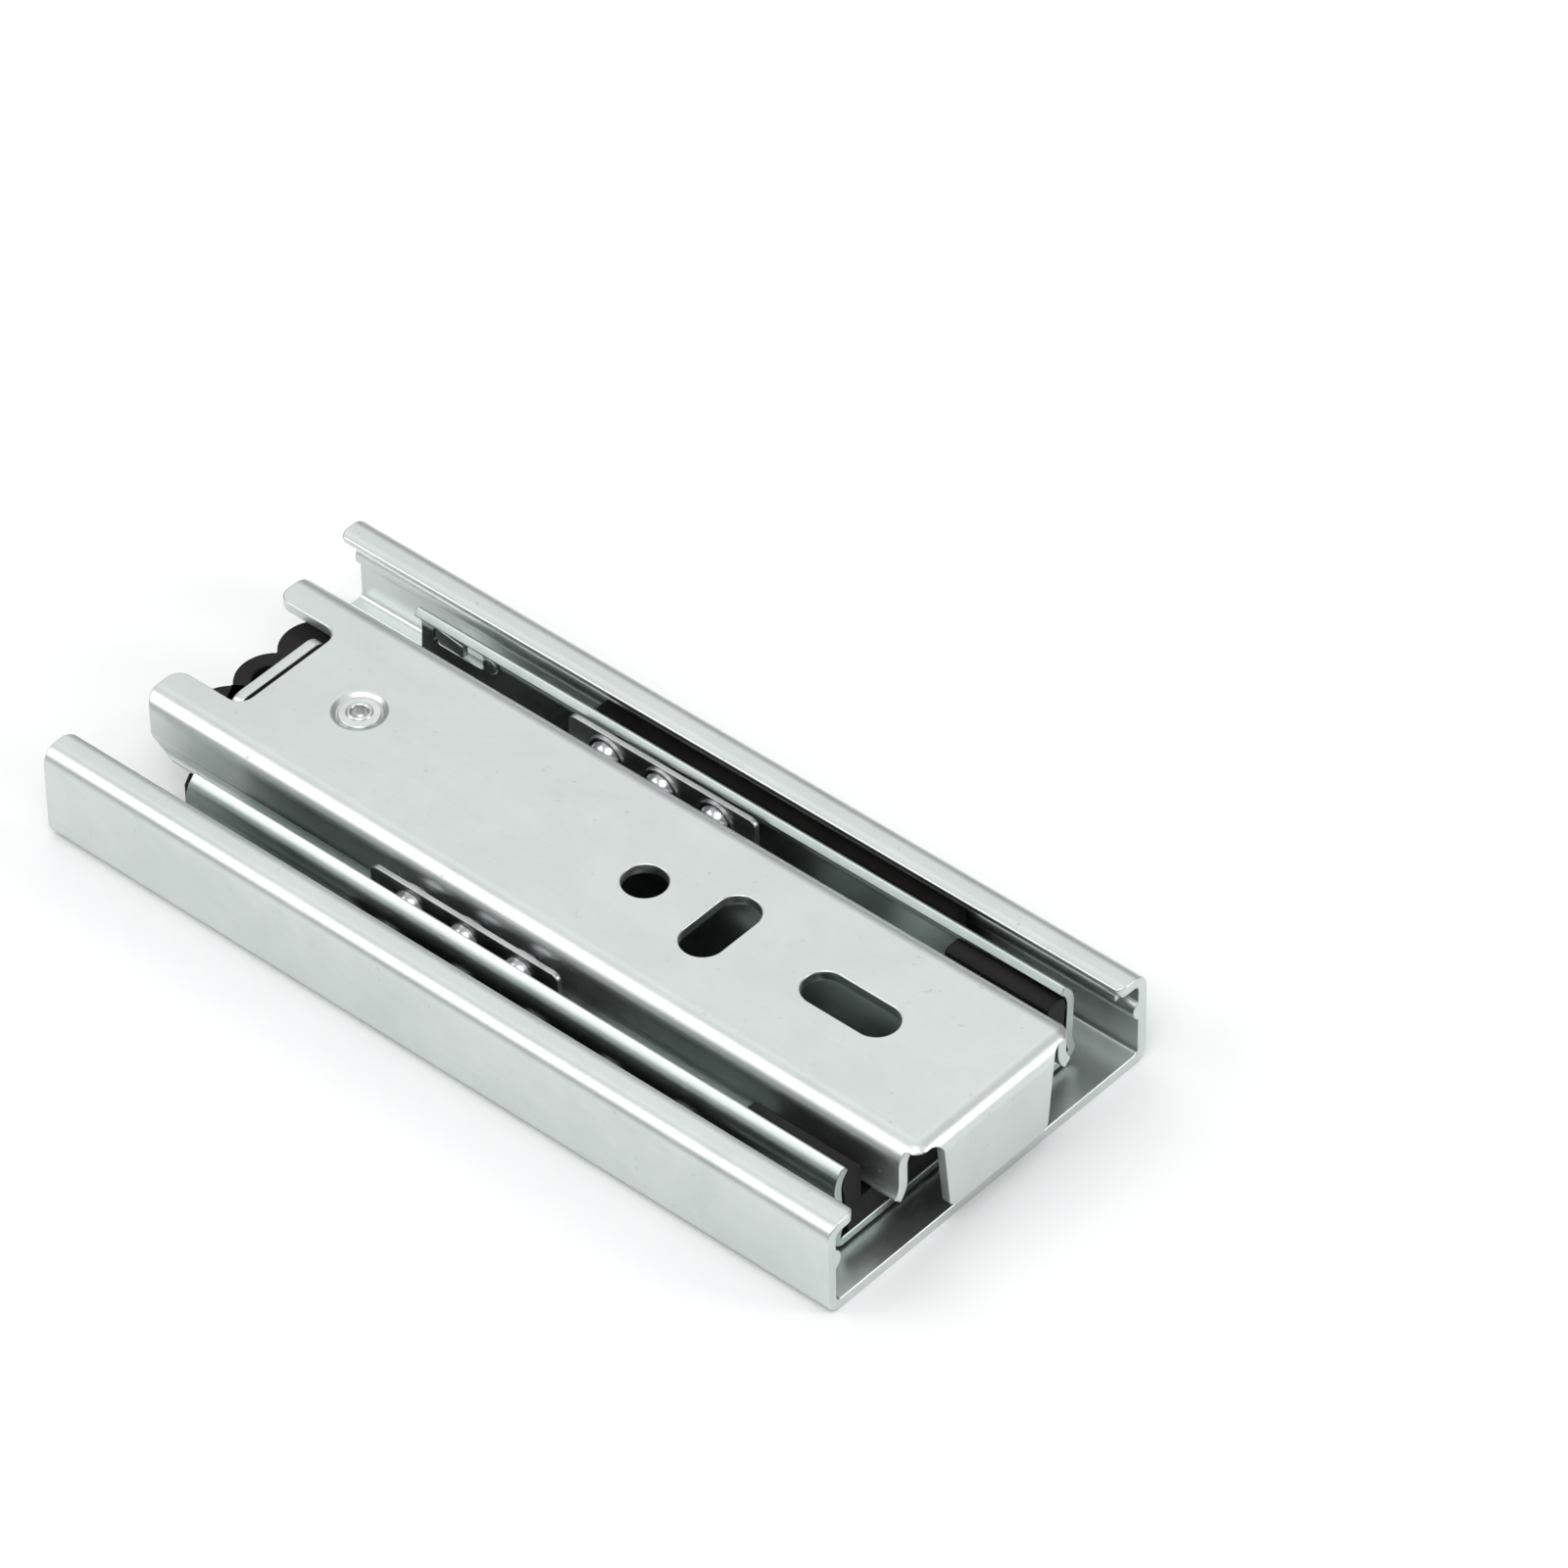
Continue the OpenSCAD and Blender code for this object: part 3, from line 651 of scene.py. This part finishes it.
# top plate: its bends meet at the front corners, and the flap hangs between two arches
def makePlate(c, frontX, seamZ):
    plate = plateBlock(c, drawerLow.x, 0)
    cutAway(plate, plateBlock(c, drawerLow.x - 2 * mm, c["sheet"]))
    archTop = drawerHigh.z - c["archDrop"]
    floor = drawerLow.z - 2 * mm
    cutAway(plate, addBox("wallRoom", (drawerLow.x - 1 * mm, -2 * waist, floor),
                          (frontX, 2 * waist, seamZ)))
    lean = c["flapTaper"] * (archTop - floor) / (archTop - drawerLow.z)
    for side in (-1, 1):
        arch = boxBetween("arch", (frontX, frontX + 4 * mm),
                          (side * c["flapHalf"], side * 2 * waist), (floor, archTop))
        startEdit(arch, "VERT")
        pick(arch, "verts", lambda v: v.z < archTop - tiny and abs(v.y) < waist)
        bpy.ops.transform.translate(value=(0, -side * lean, 0))
        leaveEdit()
        roundEdges(arch, c["archRadius"], lambda m, e: along(e, 0) and m.z > archTop - tiny
                   and abs(m.y) < waist, steps=10)
        cutAway(plate, arch)
    return roundEdges(plate, c["flapCorner"], lambda m, e: along(e, 0)
                      and m.z < drawerLow.z + tiny and abs(m.y) > c["flapHalf"] / 2, steps=6)


def makeDrawer(c):
    t = c["sheet"]
    top = drawerHigh.z
    plateZ = top - t / 2
    bendZ = plateZ - c["topBend"]
    seamZ = bendZ - c["seamDrop"]
    rear, front = drawerLow.x, drawerHigh.x - t / 2 - c["flapBend"]
    flareRadius = innerRadius + t / 2
    bends = [
        (waist - t / 2 - c["topBend"], bendZ, c["topBend"], 90, 0),
        (waist - t / 2 + flareRadius, innerBall.z - 0.5 * mm, flareRadius, 180, 180 + c["flare"])]
    piece = bendSheet("drawerChannel", bends, rear, front)
    thicken(piece, t)
    cutAway(piece, addBox("plateRoom", (rear - 1 * mm, -2 * waist, seamZ),
                          (front + 1 * mm, 2 * waist, top + 1 * mm)))
    joinOn(piece, makePlate(c, front, seamZ))

    # notch over the rear tab, and the two arms' round tips
    notch = addBox("notch", (rear - 4 * mm, -c["notchHalf"], top - 3 * mm),
                   (rear + c["notchDepth"], c["notchHalf"], top + 2 * mm))
    roundEdges(notch, c["notchCorner"], lambda m, e: along(e, 2) and m.x > rear)
    cutAway(piece, notch)
    for side in (-1, 1):
        for y, way in ((c["notchHalf"], -side), (waist + c["armRoom"], side)):
            cutAway(piece, cornerWaste(rear, side * y, -1, way, c["armCorner"], 5 * mm,
                                       top + 2 * mm))

    # the flanges' lower edges rise towards the rear
    under = addBox("under", (rear - 1 * mm, -20 * mm, 4 * mm), (rear + 7 * mm, 20 * mm, 8.4 * mm))
    startEdit(under, "VERT")
    pick(under, "verts", lambda v: v.x > rear and v.z > 6 * mm)
    bpy.ops.transform.translate(value=(-1 * mm, 0, -2.1 * mm))
    leaveEdit()
    cutAway(piece, under)

    cutAway(
        piece,
        addRod("hole", (c["roundHoleX"], 0, plateZ), c["holeWidth"] / 2, 4 * t),
        addSlot("slot", c["crossSlotX"], c["holeWidth"], c["crossRun"], top - 3 * mm,
                top + 1 * mm, across=True),
        addSlot("slot", c["longSlotX"], c["holeWidth"], c["longRun"], top - 3 * mm, top + 1 * mm),
        addRod("rivetHole", (c["rivetX"], 0, plateZ), c["rivetHole"], 4 * t))
    slope = (c["dimpleRadius"] - c["dimpleFloor"]) / c["dimpleDepth"]
    cutAway(piece, addRod(
        "dimple", (c["rivetX"], 0, top), c["dimpleFloor"], 2 * c["dimpleDepth"], steps=56,
        tipRadius=c["dimpleFloor"] + 2 * slope * c["dimpleDepth"]))
    return finishPiece(piece, "drawer_member", "drawer", zinc, c["edge"],
                       merge=c["merge"])


makeDrawer(drawer)


rivetLow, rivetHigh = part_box("lever_rivet")
rivet = dict(shank=1.5 * mm, head=2.15 * mm, headTop=0.2 * mm, headRise=0.2 * mm,
             collar=2.5 * mm, collarHeight=0.6 * mm, bore=0.85 * mm, boreDepth=1.3 * mm,
             rim=1.35 * mm, edge=0.05 * mm)


# draws the selected end face on through rings of a radius and a height
def drawOn(middle, radius, height, rings):
    for nextRadius, nextHeight in rings:
        bpy.ops.mesh.extrude_region_move(
            TRANSFORM_OT_translate={"value": (0, 0, nextHeight - height)})
        share = nextRadius / radius
        bpy.ops.transform.resize(value=(share, share, 1),
                                 center_override=(middle.x, middle.y, nextHeight))
        radius, height = nextRadius, nextHeight


def makeRivet(c):
    middle = (rivetLow + rivetHigh) / 2
    top = drawerHigh.z
    headTop = top - c["headTop"]
    headZ = headTop - c["headRise"]
    collarZ = rivetLow.z + c["collarHeight"]
    piece = addRod("hollowRivet", (middle.x, middle.y, (headZ + collarZ) / 2), c["shank"],
                   headZ - collarZ, steps=48)
    # the collar under the lever
    startEdit(piece, "FACE")
    pick(piece, "faces", lambda m, f: abs(m.z - collarZ) < tiny and f.normal.z < -0.9)
    drawOn(middle, c["shank"], collarZ, [(c["collar"], collarZ), (c["collar"], rivetLow.z)])
    # the head, its rolled rim, and the bore with its floor
    pick(piece, "faces", lambda m, f: abs(m.z - headZ) < tiny and f.normal.z > 0.9)
    rolled = (c["rim"] - c["bore"]) / 2
    rim = [(c["rim"] - rolled * (1 - math.cos(math.radians(a))),
            headTop - 0.05 * mm + rolled * math.sin(math.radians(a))) for a in range(10, 181, 17)]
    drawOn(middle, c["shank"], headZ, [
        (c["head"], headZ), (c["head"], headTop - 0.08 * mm), (c["head"] - 0.08 * mm, headTop),
        (c["rim"] + 0.02 * mm, headTop), *rim, (c["bore"], top - c["boreDepth"])])
    leaveEdit()
    return finishPiece(piece, "lever_rivet", "drawer", rivetSteel, c["edge"],
                       steps=2)


makeRivet(rivet)


cageLow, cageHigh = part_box("inner_ball_cage")
cage = dict(sheet=0.6 * mm, cornerBend=0.5 * mm, legMargin=4 * mm, stripBottom=6.25 * mm,
            endCorner=0.9 * mm, window=2.06 * mm, collar=2.35 * mm, collarRise=0.35 * mm,
            edge=0.09 * mm)
innerBallX = [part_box(f"inner_ball_left_{i}")[0].x + innerRadius for i in (1, 2, 3)]


def makeCage(c):
    t = c["sheet"]
    sideY = innerBall.y
    floorZ = cageLow.z + t / 2
    bend = c["cornerBend"]
    piece = bendSheet("ballCage", [(sideY - bend, floorZ + bend, bend, -90, 0)], cageLow.x,
                      cageHigh.x, step=15)
    startEdit(piece)
    pick(piece, "edges", lambda m, e: abs(m.y - sideY) < tiny and abs(m.z - floorZ - bend) < tiny
         and along(e, 0))
    rise = cageHigh.z - floorZ - bend
    bpy.ops.mesh.extrude_edges_move(TRANSFORM_OT_translate={"value": (0, 0, rise)})
    leaveEdit()
    thicken(piece, t)
    legs = (cageLow.x + c["legMargin"], cageHigh.x - c["legMargin"])
    for low, high in ((cageLow.x - 1 * mm, legs[0]), (legs[1], cageHigh.x + 1 * mm)):
        trim = addBox("trim", (low, -20 * mm, 0), (high, 20 * mm, c["stripBottom"]))
        inner = legs[0] if low < legs[0] else legs[1]
        roundEdges(trim, 0.8 * mm, lambda m, e: along(e, 1) and m.z > 1 * mm
                   and abs(m.x - inner) < tiny, steps=5)
        cutAway(piece, trim)
    for end in (cageLow.x, cageHigh.x):
        way = 1 if end == cageLow.x else -1
        corner = addBox("corner", (end - 1 * mm, -20 * mm, c["stripBottom"] - 1 * mm),
                        (end + 1 * mm, 20 * mm, cageHigh.z + 1 * mm))
        strip = addBox("strip", (min(end, end + way * 9 * mm), -21 * mm, c["stripBottom"]),
                       (max(end, end + way * 9 * mm), 21 * mm, cageHigh.z))
        roundEdges(strip, c["endCorner"], lambda m, e: along(e, 1) and abs(m.x - end) < tiny)
        cutAway(corner, strip)
        cutAway(piece, corner)
    for side in (-1, 1):
        for x in innerBallX:
            # the pressed collar that holds a ball
            joinOn(piece, addRod("collar", (x, side * (sideY - t / 2 - c["collarRise"] / 2 + 0.02 * mm),
                                            innerBall.z), c["collar"], c["collarRise"], along="Y",
                                 steps=40))
            cutAway(piece, addRod("window", (x, side * sideY, innerBall.z), c["window"], 4 * mm,
                                  along="Y", steps=40))
    return finishPiece(piece, "inner_ball_cage", "inner_cage", cageSteel, c["edge"],
                       steps=2)


makeCage(cage)


bumperLow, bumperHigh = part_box("rear_bumper")
bumper = dict(lobe=4.05 * mm, pitch=6.25 * mm, lobeBack=0.5 * mm, blockFront=2.9 * mm,
              hole=2.2 * mm, holeFloor=2.6 * mm, wingTop=5.6 * mm, wingRadius=6 * mm,
              wingWall=1.9 * mm, wingTurn=62, edge=0.22 * mm)


def makeBumper(c):
    tabX = cabinetLow.x + cabinet["tabFromRear"]
    lobeX = tabX - c["lobeBack"]
    bottom, top = bumperLow.z, bumperHigh.z
    side = c["pitch"] + c["lobe"]
    piece = addBox("bumper", (lobeX, -side, bottom), (tabX + c["blockFront"], side, top))
    roundEdges(piece, 1.5 * mm, lambda m, e: along(e, 2), steps=6)
    for place in (-1, 0, 1):
        joinOn(piece, addRod("lobe", (lobeX, place * c["pitch"], (bottom + top) / 2), c["lobe"],
                             top - bottom, steps=56))
    # the wings sweep round to the intermediate member's end
    front = tabX + c["blockFront"]
    centre = (front - c["wingRadius"], side - 2.4 * mm, 0)
    wing = addSheet(
        "wing", (front - c["wingWall"] / 2, centre[1], (bottom + c["wingTop"]) / 2),
        (c["wingWall"], c["wingTop"] - bottom), turn=(math.pi / 2, 0, 0))
    startEdit(wing, "FACE")
    bpy.ops.mesh.select_all(action="SELECT")
    sweep(c["wingTurn"], centre, (0, 0, 1), 12)
    bpy.ops.mesh.select_all(action="SELECT")
    bpy.ops.mesh.normals_make_consistent(inside=False)
    leaveEdit()
    joinOn(piece, otherSide(wing), wing)
    half = cabinet["tabWidth"] / 2 + 0.05 * mm
    t = cabinet["sheet"]
    cutAway(
        piece,
        addRod("hole", (lobeX, 0, c["holeFloor"] + 5 * mm), c["hole"], 10 * mm, steps=40),
        addBox("tabSlot", (tabX - t / 2 - 0.05 * mm, -half, 0),
               (tabX + t / 2 + 0.05 * mm, half, 12 * mm)),
        addBox("bendRoom", (tabX, -half, 0), (tabX + 1.4 * mm, half, t + 0.75 * mm)))
    return finishPiece(piece, "rear_bumper", "cabinet", blackRubber, c["edge"])


makeBumper(bumper)


for node, material in (("front_stop", blackPlastic), ("release_lever", blackPlastic),
                       ("outer_retainer_left", blackPlastic),
                       ("outer_retainer_right", blackPlastic)):
    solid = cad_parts[node]
    solid.data.materials.clear()
    solid.data.materials.append(material)
for node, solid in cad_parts.items():
    if "_ball_left_" in node or "_ball_right_" in node:
        solid.data.materials.clear()
        solid.data.materials.append(ballSteel)
print("solids painted")


studio = dict(floor=(0.90, 0.91, 0.91), floorHalf=3.0, world=(0.94, 0.96, 0.96),
              worldPower=0.36)


def makeStudio(c):
    leaveEdit()
    bpy.ops.mesh.primitive_plane_add(size=2 * c["floorHalf"], location=(0, 0, cadLow.z - 0.02 * mm))
    floor = nameIt("studioFloor")
    paint = Paint("studioPaper")
    grain = paint.noise((900, 900, 900), 3)
    floor.data.materials.append(paint.finish(
        Base_Color=paint.blend(grain, c["floor"], tuple(0.99 * v for v in c["floor"])),
        Roughness=0.65))
    world = bpy.data.worlds.new("studioLight")
    bpy.context.scene.world = world
    world.use_nodes = True
    back = world.node_tree.nodes["Background"]
    back.inputs["Color"].default_value = (*c["world"], 1)
    back.inputs["Strength"].default_value = c["worldPower"]


def addLight(name, place, aim, size, power, tint=(1, 1, 1)):
    leaveEdit()
    bpy.ops.object.light_add(type="AREA", location=place)
    light = bpy.context.object
    light.name = name
    light.data.shape = "RECTANGLE"
    light.data.size, light.data.size_y = size
    light.data.energy = power
    light.data.color = tint
    light.rotation_euler = (Vector(aim) - Vector(place)).to_track_quat("-Z", "Y").to_euler()


makeStudio(studio)
addLight("ceilingBox", (0, 0, 1.6), (0, 0, 0), (2.8, 2.8), 13)
addLight("overheadBox", (-0.62, 0.7, 0.95), (0, 0, 0), (1.3, 1.1), 2.2)
addLight("frontBox", (0.35, -0.55, 1.2), (0, 0, 0), (0.8, 0.8), 6.3)
addLight("leftBox", (-0.75, -0.75, 0.8), (0, 0, 0), (0.8, 0.8), 4.5)
addLight("rightBox", (0.9, 0.5, 0.5), (0, 0, 0), (0.35, 0.6), 3)

camera = dict(azimuth=-48.05, elevation=42.57, roll=-0.95, aim=(7.14 * mm, 20.02 * mm, 11.02 * mm),
              distance=965.7 * mm, lens=232.4, sensor=36)


# stands off the aim point at an azimuth from +X and an elevation, turned about its own axis
def makeCamera(c):
    aside, rise = math.radians(c["azimuth"]), math.radians(c["elevation"])
    back = Vector((math.cos(rise) * math.cos(aside), math.cos(rise) * math.sin(aside),
                   math.sin(rise)))
    leaveEdit()
    bpy.ops.object.camera_add(location=Vector(c["aim"]) + back * c["distance"])
    eye = bpy.context.object
    turn = back.to_track_quat("Z", "Y").to_matrix()
    eye.rotation_euler = (turn @ Matrix.Rotation(math.radians(c["roll"]), 3, "Z")).to_euler()
    eye.data.lens = c["lens"]
    eye.data.sensor_width = c["sensor"]
    eye.data.clip_start = 0.05
    eye.data.clip_end = 20
    bpy.context.scene.camera = eye


makeCamera(camera)
bpy.context.scene.view_settings.view_transform = "Standard"
print("studio ready")
